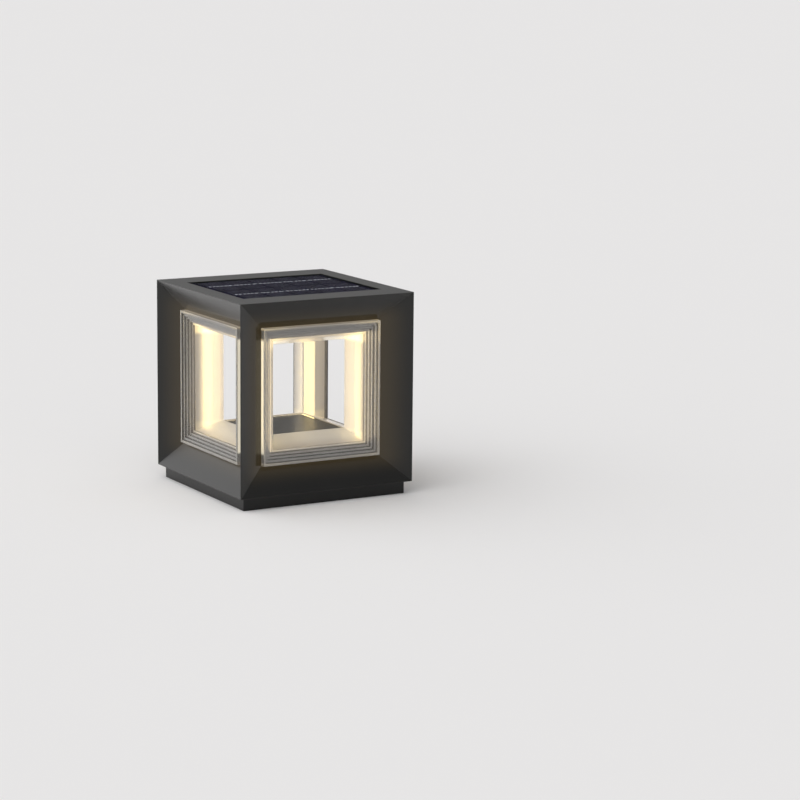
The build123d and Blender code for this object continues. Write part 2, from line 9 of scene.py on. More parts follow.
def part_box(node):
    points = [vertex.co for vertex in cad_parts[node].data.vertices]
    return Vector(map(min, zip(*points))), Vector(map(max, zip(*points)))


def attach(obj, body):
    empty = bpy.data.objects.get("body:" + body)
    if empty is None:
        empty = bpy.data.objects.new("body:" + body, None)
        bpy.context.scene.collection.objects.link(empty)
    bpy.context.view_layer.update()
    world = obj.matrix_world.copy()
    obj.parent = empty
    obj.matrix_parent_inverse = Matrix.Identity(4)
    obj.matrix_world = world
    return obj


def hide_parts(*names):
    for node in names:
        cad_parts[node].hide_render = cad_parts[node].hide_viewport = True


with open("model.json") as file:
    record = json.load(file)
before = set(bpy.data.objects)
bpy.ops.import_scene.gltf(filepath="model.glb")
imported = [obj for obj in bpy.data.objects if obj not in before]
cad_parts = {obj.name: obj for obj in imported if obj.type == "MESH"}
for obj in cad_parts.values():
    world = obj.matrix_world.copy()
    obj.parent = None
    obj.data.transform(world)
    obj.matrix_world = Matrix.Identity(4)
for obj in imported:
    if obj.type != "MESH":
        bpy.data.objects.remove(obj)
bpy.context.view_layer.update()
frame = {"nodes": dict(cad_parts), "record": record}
nodes = frame["nodes"]
scene = bpy.context.scene
mm = 0.001
print("frame loaded,", len(nodes), "nodes")

# view of the light, left face to the left and front face to the right
cameraPlace = {
    "azimuth": -29.8447, "elevation": 10.4472, "roll": 0.5592,
    "distance": 2.87098, "target": (0.14188, 0.0, 0.07992), "lens": 119.24,
    "sensor": 36.0, "clipNear": 0.02, "clipFar": 200.0,
}


def addCamera(place):
    azimuth, elevation = math.radians(place["azimuth"]), math.radians(place["elevation"])
    back = Vector((
        math.sin(azimuth) * math.cos(elevation),
        -math.cos(azimuth) * math.cos(elevation),
        math.sin(elevation),
    ))
    data = bpy.data.cameras.new("camera")
    data.lens, data.sensor_width = place["lens"], place["sensor"]
    data.clip_start, data.clip_end = place["clipNear"], place["clipFar"]
    camera = bpy.data.objects.new("camera", data)
    camera.rotation_mode = "QUATERNION"
    roll = Quaternion((0, 0, 1), math.radians(place["roll"]))
    camera.rotation_quaternion = (-back).to_track_quat("-Z", "Y") @ roll
    camera.location = Vector(place["target"]) + back * place["distance"]
    scene.collection.objects.link(camera)
    scene.camera = camera


addCamera(cameraPlace)
scene.view_settings.view_transform = "Standard"


# node helpers, for shaders and geometry alike
def wire(tree, value, socket):
    if isinstance(value, bpy.types.NodeSocket):
        tree.links.new(value, socket)
    else:
        socket.default_value = value


def feed(tree, sockets, values):
    for key, value in values.items():
        wire(tree, value, sockets[key])


def put(tree, kind, values=None, **settings):
    node = tree.nodes.new(kind)
    for key, value in settings.items():
        setattr(node, key, value)
    feed(tree, node.inputs, values or {})
    return node


def calc(tree, operation, *values):
    return put(tree, "ShaderNodeMath", dict(enumerate(values)), operation=operation).outputs[0]


def times(tree, first, second):
    return calc(tree, "MULTIPLY", first, second)


def minus(tree, first, second):
    return calc(tree, "SUBTRACT", first, second)


def invert(tree, value):
    return minus(tree, 1.0, value)


def ease(tree, value, low, high):
    return put(
        tree, "ShaderNodeMapRange", {"Value": value, "From Min": low, "From Max": high},
        interpolation_type="SMOOTHSTEP",
    ).outputs["Result"]


def vectorCalc(tree, operation, values):
    return put(tree, "ShaderNodeVectorMath", values, operation=operation).outputs


def scaled(tree, vector, factor):
    return vectorCalc(tree, "SCALE", {0: vector, "Scale": factor})["Vector"]


def added(tree, first, second):
    return vectorCalc(tree, "ADD", {0: first, 1: second})["Vector"]


def axesOf(tree, vector):
    return put(tree, "ShaderNodeSeparateXYZ", {"Vector": vector}).outputs


def fromAxes(tree, **axes):
    return put(tree, "ShaderNodeCombineXYZ", axes).outputs["Vector"]


def farthest(tree, axes):
    return calc(tree, "MAXIMUM", calc(tree, "ABSOLUTE", axes["X"]), calc(tree, "ABSOLUTE", axes["Y"]))


def noise(tree, vector, scale, dimensions="3D", **values):
    return put(
        tree, "ShaderNodeTexNoise", dict(values, Vector=vector, Scale=scale), noise_dimensions=dimensions,
    ).outputs["Fac"]


def blendValue(tree, factor, first, second):
    return put(tree, "ShaderNodeMix", {"Factor": factor, "A": first, "B": second}).outputs["Result"]


def blendColor(tree, factor, first, second):
    # 6, 7 and 2 are the colour pair and its result
    return put(tree, "ShaderNodeMix", {"Factor": factor, 6: first, 7: second}, data_type="RGBA").outputs[2]


def opaque(color):
    return color + (1.0,)


def newGroup(name, inputs, outputs):
    group = bpy.data.node_groups.new(name, "ShaderNodeTree")
    kinds = {"color": "NodeSocketColor", "vector": "NodeSocketVector", "value": "NodeSocketFloat"}
    for way, sockets in (("INPUT", inputs), ("OUTPUT", outputs)):
        for label, kind in sockets:
            group.interface.new_socket(label, in_out=way, socket_type=kinds[kind])
    return group, put(group, "NodeGroupInput").outputs, put(group, "NodeGroupOutput").inputs


# fine grain and slow mottle of a coat or moulding
grainMix = {
    "fineDetail": 2.0, "fineRoughness": 0.55, "mottleDetail": 4.0, "mottleRoughness": 0.6,
    "mottleShare": 1.6, "fineShare": 0.4, "pebbleScale": 0.6, "pebbleDepth": -0.6,
}


def makeCoatGrain(mix):
    group, given, result = newGroup("coatGrain", [
        ("Vector", "vector"), ("Color", "color"), ("Tint Spread", "value"),
        ("Roughness", "value"), ("Roughness Spread", "value"),
        ("Grain Scale", "value"), ("Mottle Scale", "value"),
    ], [("Color", "color"), ("Roughness", "value"), ("Height", "value")])
    place = given["Vector"]
    grain = noise(
        group, place, given["Grain Scale"], Detail=mix["fineDetail"], Roughness=mix["fineRoughness"],
    )
    pebble = put(group, "ShaderNodeTexVoronoi", {
        "Vector": place, "Scale": times(group, given["Grain Scale"], mix["pebbleScale"]),
    }).outputs["Distance"]
    mottle = noise(
        group, place, given["Mottle Scale"], Detail=mix["mottleDetail"], Roughness=mix["mottleRoughness"],
    )
    slow = times(group, mottle, mix["mottleShare"])
    fine = times(group, grain, mix["fineShare"])
    lift = minus(group, calc(group, "ADD", slow, fine), 1.0)
    factor = calc(group, "MULTIPLY_ADD", lift, given["Tint Spread"], 1.0)
    feed(group, result, {
        "Color": scaled(group, given["Color"], factor),
        "Roughness": calc(group, "MULTIPLY_ADD", lift, given["Roughness Spread"], given["Roughness"]),
        "Height": calc(group, "MULTIPLY_ADD", pebble, mix["pebbleDepth"], grain),
    })
    return group


# rounded edges catch light where hands and weather rub them
rubMix = {"patchDetail": 3.0, "patchFrom": 0.35, "patchFull": 0.7, "polish": -0.12}


def makeRubbedEdges(mix):
    group, given, result = newGroup("rubbedEdges", [
        ("Vector", "vector"), ("Color", "color"), ("Roughness", "value"),
        ("Rub Color", "color"), ("Amount", "value"), ("Patch Scale", "value"),
    ], [("Color", "color"), ("Roughness", "value")])
    edge = put(group, "ShaderNodeAttribute", attribute_name="edgeRub").outputs["Fac"]
    patch = noise(group, given["Vector"], given["Patch Scale"], Detail=mix["patchDetail"])
    worn = times(group, edge, ease(group, patch, mix["patchFrom"], mix["patchFull"]))
    worn = times(group, worn, given["Amount"])
    feed(group, result, {
        "Color": blendColor(group, worn, given["Color"], given["Rub Color"]),
        "Roughness": calc(group, "MULTIPLY_ADD", worn, mix["polish"], given["Roughness"]),
    })
    return group


# thin dust on faces that look up
dustMix = {
    "patchDetail": 5.0, "patchRoughness": 0.65, "patchFrom": 0.3, "patchFull": 0.75,
    "upFrom": 0.35, "upFull": 0.95, "dullness": 0.25,
}


def makeSettledDust(mix):
    group, given, result = newGroup("settledDust", [
        ("Vector", "vector"), ("Color", "color"), ("Roughness", "value"),
        ("Dust Color", "color"), ("Amount", "value"), ("Patch Scale", "value"),
    ], [("Color", "color"), ("Roughness", "value")])
    upward = axesOf(group, put(group, "ShaderNodeNewGeometry").outputs["Normal"])["Z"]
    patch = noise(
        group, given["Vector"], given["Patch Scale"],
        Detail=mix["patchDetail"], Roughness=mix["patchRoughness"],
    )
    lying = ease(group, upward, mix["upFrom"], mix["upFull"])
    spread = ease(group, patch, mix["patchFrom"], mix["patchFull"])
    dust = times(group, times(group, lying, spread), given["Amount"])
    feed(group, result, {
        "Color": blendColor(group, dust, given["Color"], given["Dust Color"]),
        "Roughness": calc(group, "MULTIPLY_ADD", dust, mix["dullness"], given["Roughness"]),
    })
    return group


# fine streaks along the way that a metal was drawn or rolled
streakMix = {"stretch": (0.06, 1.0, 1.0), "detail": 3.0, "roughnessSpread": 0.2}


def makeDrawnMetal(mix):
    group, given, result = newGroup("drawnMetal", [
        ("Vector", "vector"), ("Color", "color"), ("Tint Spread", "value"),
        ("Roughness", "value"), ("Streak Scale", "value"), ("Spot Scale", "value"),
    ], [("Color", "color"), ("Roughness", "value"), ("Height", "value")])
    stretched = vectorCalc(group, "MULTIPLY", {0: given["Vector"], 1: mix["stretch"]})["Vector"]
    streak = noise(group, stretched, given["Streak Scale"], Detail=mix["detail"])
    spot = noise(group, given["Vector"], given["Spot Scale"], Detail=mix["detail"])
    lift = minus(group, calc(group, "ADD", streak, spot), 1.0)
    factor = calc(group, "MULTIPLY_ADD", lift, given["Tint Spread"], 1.0)
    feed(group, result, {
        "Color": scaled(group, given["Color"], factor),
        "Roughness": calc(group, "MULTIPLY_ADD", lift, mix["roughnessSpread"], given["Roughness"]),
        "Height": streak,
    })
    return group


def makeTubeGlow():
    # Glow is 1 at the nearest of the four tubes and 0 at Reach, Along is 1 at a tube's ends,
    # and Inward is how far a point lies from the tube's axis towards the middle of the light
    group, given, result = newGroup("tubeGlow", [
        ("Vector", "vector"), ("Tube Axis", "value"), ("Middle Height", "value"),
        ("Half Length", "value"), ("Reach", "value"),
    ], [("Glow", "value"), ("Along", "value"), ("Inward", "value")])
    axes = axesOf(group, given["Vector"])
    sideX, sideY = (
        minus(group, calc(group, "ABSOLUTE", axes[way]), given["Tube Axis"]) for way in ("X", "Y")
    )
    above = calc(group, "ABSOLUTE", minus(group, axes["Z"], given["Middle Height"]))
    past = calc(group, "MAXIMUM", minus(group, above, given["Half Length"]), 0.0)
    offset = fromAxes(group, X=sideX, Y=sideY, Z=past)
    away = vectorCalc(group, "LENGTH", {0: offset})["Value"]
    near = invert(group, calc(group, "DIVIDE", away, given["Reach"]))
    feed(group, result, {
        "Glow": calc(group, "MAXIMUM", near, 0.0),
        "Along": calc(group, "DIVIDE", above, given["Half Length"]),
        "Inward": times(group, calc(group, "ADD", sideX, sideY), -math.sqrt(0.5)),
    })
    return group


coatGrain = makeCoatGrain(grainMix)
rubbedEdges = makeRubbedEdges(rubMix)
settledDust = makeSettledDust(dustMix)
drawnMetal = makeDrawnMetal(streakMix)
tubeGlow = makeTubeGlow()
print("shared effects built")

# sizes read from the frame
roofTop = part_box("roof_frame")[1].z
lampMiddle = (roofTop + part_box("base_frame")[0].z) / 2
tubeLow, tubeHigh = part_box("light_tube_front_right")
tubeAxis = (tubeLow.x + tubeHigh.x) / 2
tubeHalf = (tubeHigh.z - tubeLow.z) / 2
tubeRadius = (tubeHigh.x - tubeLow.x) / 2
tubePlace = {"Tube Axis": tubeAxis, "Middle Height": lampMiddle, "Half Length": tubeHalf}

# stepped window lens
lensShape = {
    "steps": 5, "stepWidth": 2.9, "stepDepth": 2.1, "wall": 2.5, "sheet": 2.0, "rimDepth": 11.0,
    "mitreGap": 0.15, "round": 0.3, "backLap": 0.5,
}
lensLow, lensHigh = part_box("lens_front")
rimHalf, rimRise, rimFront = lensHigh.x, lensHigh.z - lampMiddle, -lensLow.y
mouthFront = rimFront - lensShape["steps"] * lensShape["stepDepth"] * mm

plasticIor = 1.46
finishes = {}


def startFinish(slotName):
    finish = bpy.data.materials.new(slotName)
    finish.use_nodes = True
    finishes[slotName] = finish
    tree = finish.node_tree
    place = put(tree, "ShaderNodeTexCoord").outputs["Object"]
    return tree, tree.nodes["Principled BSDF"], place


def placeGroup(tree, group, place, values):
    return put(tree, "ShaderNodeGroup", dict(values, Vector=place), node_tree=group).outputs


def placeGrain(tree, place, look):
    return placeGroup(tree, coatGrain, place, {
        "Color": opaque(look["color"]), "Tint Spread": look["tintSpread"],
        "Roughness": look["roughness"], "Roughness Spread": look["roughnessSpread"],
        "Grain Scale": look["grainScale"], "Mottle Scale": look["mottleScale"],
    })


def placeDust(tree, place, under, look):
    return placeGroup(tree, settledDust, place, {
        "Color": under["Color"], "Roughness": under["Roughness"], "Dust Color": opaque(look["dustColor"]),
        "Amount": look["dustAmount"], "Patch Scale": look["dustScale"],
    })


def addBump(tree, shader, height, look):
    bump = put(tree, "ShaderNodeBump", {
        "Height": height, "Strength": look["bump"], "Distance": look["bumpDepth"],
    })
    wire(tree, bump.outputs["Normal"], shader.inputs["Normal"])


def addGlow(tree, shader, color, strength=1.0):
    feed(tree, shader.inputs, {"Emission Color": color, "Emission Strength": strength})


def fromMiddle(tree, axes):
    return calc(tree, "ABSOLUTE", minus(tree, axes["Z"], lampMiddle))


def grainedFinish(slotName, look):
    tree, shader, place = startFinish(slotName)
    grain = placeGrain(tree, place, look)
    feed(tree, shader.inputs, {
        "Base Color": grain["Color"], "Roughness": grain["Roughness"], "IOR": look.get("ior", plasticIor),
    })
    addBump(tree, shader, grain["Height"], look)
    return tree, shader, place, grain


# powder coat of roof, posts and base; the windows' warm light on their bevels is painted as a faint glow
anthraciteLook = {
    "color": (0.0052, 0.005, 0.0044), "tintSpread": 0.16, "roughness": 0.24, "roughnessSpread": 0.06,
    "grainScale": 2400.0, "mottleScale": 16.0, "bump": 0.06, "bumpDepth": 0.1 * mm, "ior": 1.3,
    "sheenIor": 1.3, "sheenRoughness": 0.2,
    "rubColor": (0.05, 0.049, 0.047), "rubAmount": 0.5, "rubScale": 70.0,
    "dustColor": (0.1, 0.098, 0.09), "dustAmount": 0.08, "dustScale": 24.0,
    "paintedSpillGlow": (0.031, 0.0215, 0.0085), "spillNear": 82.0 * mm, "spillFar": 101.0 * mm,
    "spillRise": 70.0 * mm, "spillEnd": 96.0 * mm,
    "paintedLightTopColor": (0.084, 0.0835, 0.082), "topRoughness": 0.42, "topCoat": 0.2,
    "topFrom": 0.8 * mm, "topFull": 0.16 * mm,
}


def makeAnthracite(look):
    tree, shader, place = startFinish("anthracite_coat")
    grain = placeGrain(tree, place, look)
    rubbed = placeGroup(tree, rubbedEdges, place, {
        "Color": grain["Color"], "Roughness": grain["Roughness"], "Rub Color": opaque(look["rubColor"]),
        "Amount": look["rubAmount"], "Patch Scale": look["rubScale"],
    })
    dusty = placeDust(tree, place, rubbed, look)
    axes = axesOf(tree, place)
    # thin clear coat over the dark one, thinner and rougher on the top of the roof, whose colour is painted
    # lighter as painted light
    top = ease(tree, axes["Z"], roofTop - look["topFrom"], roofTop - look["topFull"])
    feed(tree, shader.inputs, {
        "Base Color": blendColor(tree, top, dusty["Color"], opaque(look["paintedLightTopColor"])),
        "Roughness": blendValue(tree, top, dusty["Roughness"], look["topRoughness"]), "IOR": look["ior"],
        "Coat Weight": calc(tree, "MULTIPLY_ADD", top, look["topCoat"] - 1.0, 1.0),
        "Coat IOR": look["sheenIor"], "Coat Roughness": look["sheenRoughness"],
    })
    addBump(tree, shader, grain["Height"], look)
    # painted warm glow near the windows, standing in for their spilled light
    beside = invert(tree, ease(tree, farthest(tree, axes), look["spillNear"], look["spillFar"]))
    level = invert(tree, ease(tree, fromMiddle(tree, axes), look["spillRise"], look["spillEnd"]))
    addGlow(tree, shader, scaled(tree, look["paintedSpillGlow"], times(tree, beside, level)))


makeAnthracite(anthraciteLook)

# the foot's coat is darker, as painted shade near the floor, with no clear layer
shadedFootLook = {
    "color": (0.0046, 0.0046, 0.0044), "tintSpread": 0.16, "roughness": 0.26, "roughnessSpread": 0.06,
    "grainScale": 2400.0, "mottleScale": 16.0, "bump": 0.06, "bumpDepth": 0.1 * mm, "ior": 1.4,
}
grainedFinish("shaded_foot_coat", shadedFootLook)

# lens tunnels, hazy, with the tubes' light beside them painted as a soft glow
tunnelLook = {
    "color": (0.82, 0.79, 0.74), "tintSpread": 0.06, "roughness": 0.18, "roughnessSpread": 0.08,
    "grainScale": 420.0, "mottleScale": 30.0, "bump": 0.05, "bumpDepth": 0.1 * mm,
    "ior": 1.49, "transmission": 0.6, "glowFrom": 80.0 * mm, "glowFull": 60.0 * mm,
    "glowColor": (0.11, 0.098, 0.078), "paintedFadeGlow": (0.03, 0.023, 0.016),
    "nearReach": 38.0 * mm, "nearPower": 1.3, "paintedNearGlow": (0.6, 0.47, 0.2),
    "nearFrom": 45.0 * mm, "nearFull": 50.0 * mm, "paintedCeilingGlow": (0.07, 0.05, 0.024), "lowShare": 0.2,
    "paintedSideGlow": (2.0, 1.64, 1.14), "sideFrom": 66.0 * mm, "sideFull": 74.0 * mm, "sideShare": 0.37,
    "turnFrom": 0.3, "turnFull": 0.7,
}


def makeTunnel(look):
    tree, shader, place = grainedFinish("clear_acrylic", look)[:3]
    axes = axesOf(tree, place)
    out = farthest(tree, axes)
    # painted glow, brighter deeper in the tunnel
    deep = ease(tree, out, look["glowFrom"], look["glowFull"])
    tone = blendColor(tree, deep, opaque(look["paintedFadeGlow"]), opaque(look["glowColor"]))
    near = placeGroup(tree, tubeGlow, place, dict(tubePlace, Reach=look["nearReach"]))["Glow"]
    near = calc(tree, "POWER", near, look["nearPower"])
    # painted glow above and, less, below the opening
    rise = minus(tree, axes["Z"], lampMiddle)
    level = ease(tree, calc(tree, "ABSOLUTE", rise), look["nearFrom"], look["nearFull"])
    upper = calc(tree, "GREATER_THAN", rise, 0.0)
    share = calc(tree, "MULTIPLY_ADD", upper, 1.0 - look["lowShare"], look["lowShare"])
    corners = added(tree, scaled(tree, look["paintedNearGlow"], near), look["paintedCeilingGlow"])
    corners = scaled(tree, corners, times(tree, level, share))
    # painted glow on the outer side of the side walls, for the tubes' light, most just behind the rims
    surface = put(tree, "ShaderNodeNewGeometry").outputs
    facing = axesOf(tree, surface["Normal"])
    awayX, awayY = (times(tree, facing[way], calc(tree, "SIGN", axes[way])) for way in ("X", "Y"))
    acrossX = calc(tree, "LESS_THAN", calc(tree, "ABSOLUTE", axes["X"]), calc(tree, "ABSOLUTE", axes["Y"]))
    turned = ease(tree, blendValue(tree, acrossX, awayY, awayX), look["turnFrom"], look["turnFull"])
    outer = times(tree, turned, invert(tree, surface["Backfacing"]))
    beam = times(tree, near, look["sideShare"])
    beam = calc(tree, "MAXIMUM", beam, ease(tree, out, look["sideFrom"], look["sideFull"]))
    side = scaled(tree, look["paintedSideGlow"], times(tree, beam, outer))
    addGlow(tree, shader, added(tree, added(tree, tone, corners), side))
    shader.inputs["Transmission Weight"].default_value = look["transmission"]


makeTunnel(tunnelLook)

# stepped lens rims: painted shade in the corners of the steps, a painted warm glow on the inner steps,
# painted light along their side walls
rimLook = {
    "color": (0.68, 0.67, 0.645), "tintSpread": 0.05, "roughness": 0.18, "roughnessSpread": 0.03,
    "grainScale": 420.0, "mottleScale": 30.0, "bump": 0.01, "bumpDepth": 0.05 * mm,
    "ior": 1.49, "transmission": 0.7, "paintedCornerShade": (0.21, 0.205, 0.196), "cornerShare": 0.32,
    "cornerShift": 0.03, "paleFrom": 0.4, "paleFull": 0.8,
    "warmFrom": 84.0 * mm, "warmFull": 77.0 * mm, "paintedWarmGlow": (0.036, 0.028, 0.021),
    "paintedWallGlow": (0.5, 0.455, 0.35), "wallFrom": 0.4 * mm, "wallFull": 0.12 * mm,
    "wallReach": 57.0 * mm, "wallEnd": 60.42 * mm,
    "paintedCapGlow": (0.15, 0.125, 0.09), "edgeFrom": 0.36 * mm, "edgeFull": 0.9 * mm,
}


def makeRim(look):
    tree, shader, place, grain = grainedFinish("stepped_rim", look)
    axes = axesOf(tree, place)
    wideX, wideY = calc(tree, "ABSOLUTE", axes["X"]), calc(tree, "ABSOLUTE", axes["Y"])
    out, beside = calc(tree, "MAXIMUM", wideX, wideY), calc(tree, "MINIMUM", wideX, wideY)
    height = fromMiddle(tree, axes)
    insetX, insetZ = minus(tree, rimHalf, beside), minus(tree, rimRise, height)
    inset = calc(tree, "MINIMUM", insetX, insetZ)
    stepWidth = lensShape["stepWidth"] * mm
    # painted shade in the corner of each step
    across = calc(tree, "FRACT", calc(tree, "MULTIPLY_ADD", inset, 1.0 / stepWidth, look["cornerShift"]))
    corner = invert(tree, ease(tree, across, 0.0, look["cornerShare"]))
    # the painted corner shade stays off the outer edge
    pale = ease(tree, inset, look["paleFrom"] * stepWidth, look["paleFull"] * stepWidth)
    corner = times(tree, corner, pale)
    shade = blendColor(tree, corner, grain["Color"], opaque(look["paintedCornerShade"]))
    wire(tree, shade, shader.inputs["Base Color"])
    # painted warm glow on the inner steps, and painted light along the side walls and caps
    warm = scaled(tree, look["paintedWarmGlow"], ease(tree, out, look["warmFrom"], look["warmFull"]))
    wall = ease(tree, beside, rimHalf - look["wallFrom"], rimHalf - look["wallFull"])
    wall = times(tree, wall, invert(tree, ease(tree, height, look["wallReach"], look["wallEnd"])))
    cap = ease(tree, height, rimRise - look["wallFrom"], rimRise - look["wallFull"])
    edges = added(tree, scaled(tree, look["paintedWallGlow"], wall), scaled(tree, look["paintedCapGlow"], cap))
    outside = invert(tree, put(tree, "ShaderNodeNewGeometry").outputs["Backfacing"])
    clear = ease(tree, out, rimFront - look["edgeFrom"], rimFront - look["edgeFull"])
    edges = scaled(tree, edges, times(tree, outside, clear))
    addGlow(tree, shader, added(tree, warm, edges))
    shader.inputs["Transmission Weight"].default_value = look["transmission"]


makeRim(rimLook)

# dark satin floor and ceiling of the open middle
plateLook = {
    "color": (0.056, 0.055, 0.053), "tintSpread": 0.2, "roughness": 0.36, "roughnessSpread": 0.1,
    "grainScale": 1500.0, "mottleScale": 22.0, "bump": 0.08, "bumpDepth": 0.15 * mm, "ior": 1.85,
    "dustColor": (0.12, 0.115, 0.1), "dustAmount": 0.1, "dustScale": 30.0,
}


def makePlate(look):
    tree, shader, place, grain = grainedFinish("dark_plate", look)
    dusty = placeDust(tree, place, grain, look)
    feed(tree, shader.inputs, {"Base Color": dusty["Color"], "Roughness": dusty["Roughness"]})


makePlate(plateLook)

# frosted tubes, bright where they face the middle, most at each light chip and less at the ends
tubeLook = {
    "color": (0.9, 0.84, 0.7), "tintSpread": 0.05, "roughness": 0.4, "roughnessSpread": 0.1,
    "grainScale": 900.0, "mottleScale": 40.0, "bump": 0.05, "bumpDepth": 0.1 * mm,
    "glowColor": (1.0, 0.82, 0.36), "endColor": (1.0, 0.7, 0.27), "endPower": 6.0, "glowStrength": 2.2,
    "chipPitch": 12.0 * mm, "chipRipple": 0.06, "endDrop": 0.2,
    "backShare": 0.06, "shineFrom": -0.46, "shineFull": 0.2,
}


def makeTube(look):
    tree, shader, place = grainedFinish("opal_tube", look)[:3]
    field = placeGroup(tree, tubeGlow, place, tubePlace)
    along = field["Along"]
    end = calc(tree, "POWER", along, look["endPower"])
    # the boards shine towards the middle
    inward = ease(tree, field["Inward"], look["shineFrom"] * tubeRadius, look["shineFull"] * tubeRadius)
    share = calc(tree, "MULTIPLY_ADD", inward, 1.0 - look["backShare"], look["backShare"])
    chips = calc(tree, "COSINE", times(tree, along, tubeHalf / look["chipPitch"] * 2 * math.pi))
    ripple = calc(tree, "MULTIPLY_ADD", chips, look["chipRipple"], 1.0 - look["chipRipple"])
    level = times(tree, ripple, calc(tree, "MULTIPLY_ADD", end, -look["endDrop"], 1.0))
    tone = blendColor(tree, end, opaque(look["glowColor"]), opaque(look["endColor"]))
    addGlow(tree, shader, scaled(tree, tone, times(tree, level, share)), look["glowStrength"])


makeTube(tubeLook)

# white tube sockets, faintly rippled from the mould
socketLook = {
    "color": (0.62, 0.6, 0.55), "tintSpread": 0.08, "roughness": 0.45, "roughnessSpread": 0.1,
    "grainScale": 1200.0, "mottleScale": 60.0, "bump": 0.1, "bumpDepth": 0.1 * mm,
}
grainedFinish("socket_plastic", socketLook)

# white coated strip boards in the tubes
stripLook = {
    "color": (0.75, 0.75, 0.72), "tintSpread": 0.05, "roughness": 0.3, "roughnessSpread": 0.08,
    "grainScale": 1800.0, "mottleScale": 80.0, "bump": 0.06, "bumpDepth": 0.05 * mm,
}
grainedFinish("white_board", stripLook)

# lit yellow phosphor
chipLook = {
    "color": (0.9, 0.68, 0.2), "tintSpread": 0.1, "roughness": 0.35, "roughnessSpread": 0.1,
    "grainScale": 5200.0, "mottleScale": 700.0, "bump": 0.1, "bumpDepth": 0.05 * mm,
    "glowStrength": 3.0,
}


def makeChip(look):
    tree, shader, _, grain = grainedFinish("light_chip", look)
    addGlow(tree, shader, grain["Color"], look["glowStrength"])


makeChip(chipLook)

# tempered panel glass, nearly free of reflections
glassLook = {
    "color": (0.93, 0.95, 0.97), "tintSpread": 0.04, "roughness": 0.06, "roughnessSpread": 0.04,
    "grainScale": 1400.0, "mottleScale": 20.0, "bump": 0.03, "bumpDepth": 0.05 * mm, "ior": 1.008,
}
glassShader = grainedFinish("panel_glass", glassLook)[1]
glassShader.inputs["Transmission Weight"].default_value = 1.0

# silicon strips, blue-black with slow shifts of shade, and the navy sheet behind them
siliconLook = {
    "color": (0.0105, 0.009, 0.0205), "tintSpread": 0.35, "roughness": 0.4, "roughnessSpread": 0.1,
    "grainScale": 900.0, "mottleScale": 26.0, "bump": 0.04, "bumpDepth": 0.05 * mm,
}
sheetLook = {
    "color": (0.0115, 0.0102, 0.026), "tintSpread": 0.2, "roughness": 0.5, "roughnessSpread": 0.1,
    "grainScale": 1300.0, "mottleScale": 30.0, "bump": 0.06, "bumpDepth": 0.08 * mm,
}
for slotName, look in (("solar_cell", siliconLook), ("panel_sheet", sheetLook)):
    darkShader = grainedFinish(slotName, look)[1]
    darkShader.inputs["Specular IOR Level"].default_value = 0.0


def metalFinish(slotName, look):
    tree, shader, place = startFinish(slotName)
    metal = placeGroup(tree, drawnMetal, place, {
        "Color": opaque(look["color"]), "Tint Spread": look["tintSpread"], "Roughness": look["roughness"],
        "Streak Scale": look["streakScale"], "Spot Scale": look["spotScale"],
    })
    feed(tree, shader.inputs, {
        "Base Color": metal["Color"], "Roughness": metal["Roughness"], "Metallic": look["metallic"],
    })
    addBump(tree, shader, metal["Height"], look)


# tinned bus ribbon, zinc-plated fixings
ribbonLook = {
    "color": (0.95, 0.94, 1.0), "tintSpread": 0.2, "roughness": 0.42,
    "streakScale": 1500.0, "spotScale": 400.0,
    "bump": 0.15, "bumpDepth": 0.05 * mm, "metallic": 0.25,
}
metalFinish("tinned_ribbon", ribbonLook)
steelLook = {
    "color": (0.5, 0.5, 0.49), "tintSpread": 0.3, "roughness": 0.34,
    "streakScale": 900.0, "spotScale": 120.0,
    "bump": 0.1, "bumpDepth": 0.05 * mm, "metallic": 1.0,
}
metalFinish("plated_steel", steelLook)

# seal round the panel and under the switch
rubberLook = {
    "color": (0.011, 0.011, 0.0115), "tintSpread": 0.2, "roughness": 0.6, "roughnessSpread": 0.12,
    "grainScale": 1600.0, "mottleScale": 40.0, "bump": 0.2, "bumpDepth": 0.1 * mm, "ior": 1.35,
}
grainedFinish("black_rubber", rubberLook)

sleeveLook = {
    "color": (0.02, 0.09, 0.26), "tintSpread": 0.12, "roughness": 0.28, "roughnessSpread": 0.1,
    "grainScale": 700.0, "mottleScale": 60.0, "bump": 0.08, "bumpDepth": 0.1 * mm,
}
grainedFinish("battery_wrap", sleeveLook)

mouldedLook = {
    "color": (0.016, 0.016, 0.016), "tintSpread": 0.2, "roughness": 0.5, "roughnessSpread": 0.12,
    "grainScale": 1700.0, "mottleScale": 50.0, "bump": 0.18, "bumpDepth": 0.1 * mm,
}
grainedFinish("black_plastic", mouldedLook)

solderMaskLook = {
    "color": (0.012, 0.13, 0.045), "tintSpread": 0.15, "roughness": 0.32, "roughnessSpread": 0.1,
    "grainScale": 1400.0, "mottleScale": 90.0, "bump": 0.08, "bumpDepth": 0.05 * mm,
}
grainedFinish("circuit_board", solderMaskLook)

plugLook = {
    "color": (0.68, 0.67, 0.62), "tintSpread": 0.08, "roughness": 0.42, "roughnessSpread": 0.1,
    "grainScale": 1500.0, "mottleScale": 90.0, "bump": 0.12, "bumpDepth": 0.08 * mm,
}
grainedFinish("white_plastic", plugLook)

buttonLook = {
    "color": (0.075, 0.075, 0.078), "tintSpread": 0.12, "roughness": 0.42, "roughnessSpread": 0.12,
    "grainScale": 3000.0, "mottleScale": 200.0, "bump": 0.2, "bumpDepth": 0.08 * mm,
}
grainedFinish("button_grey", buttonLook)

sheathLook = {
    "color": (0.018, 0.018, 0.018), "tintSpread": 0.15, "roughness": 0.45, "roughnessSpread": 0.1,
    "grainScale": 1400.0, "mottleScale": 70.0, "bump": 0.1, "bumpDepth": 0.08 * mm,
}
grainedFinish("lead_sheath", sheathLook)

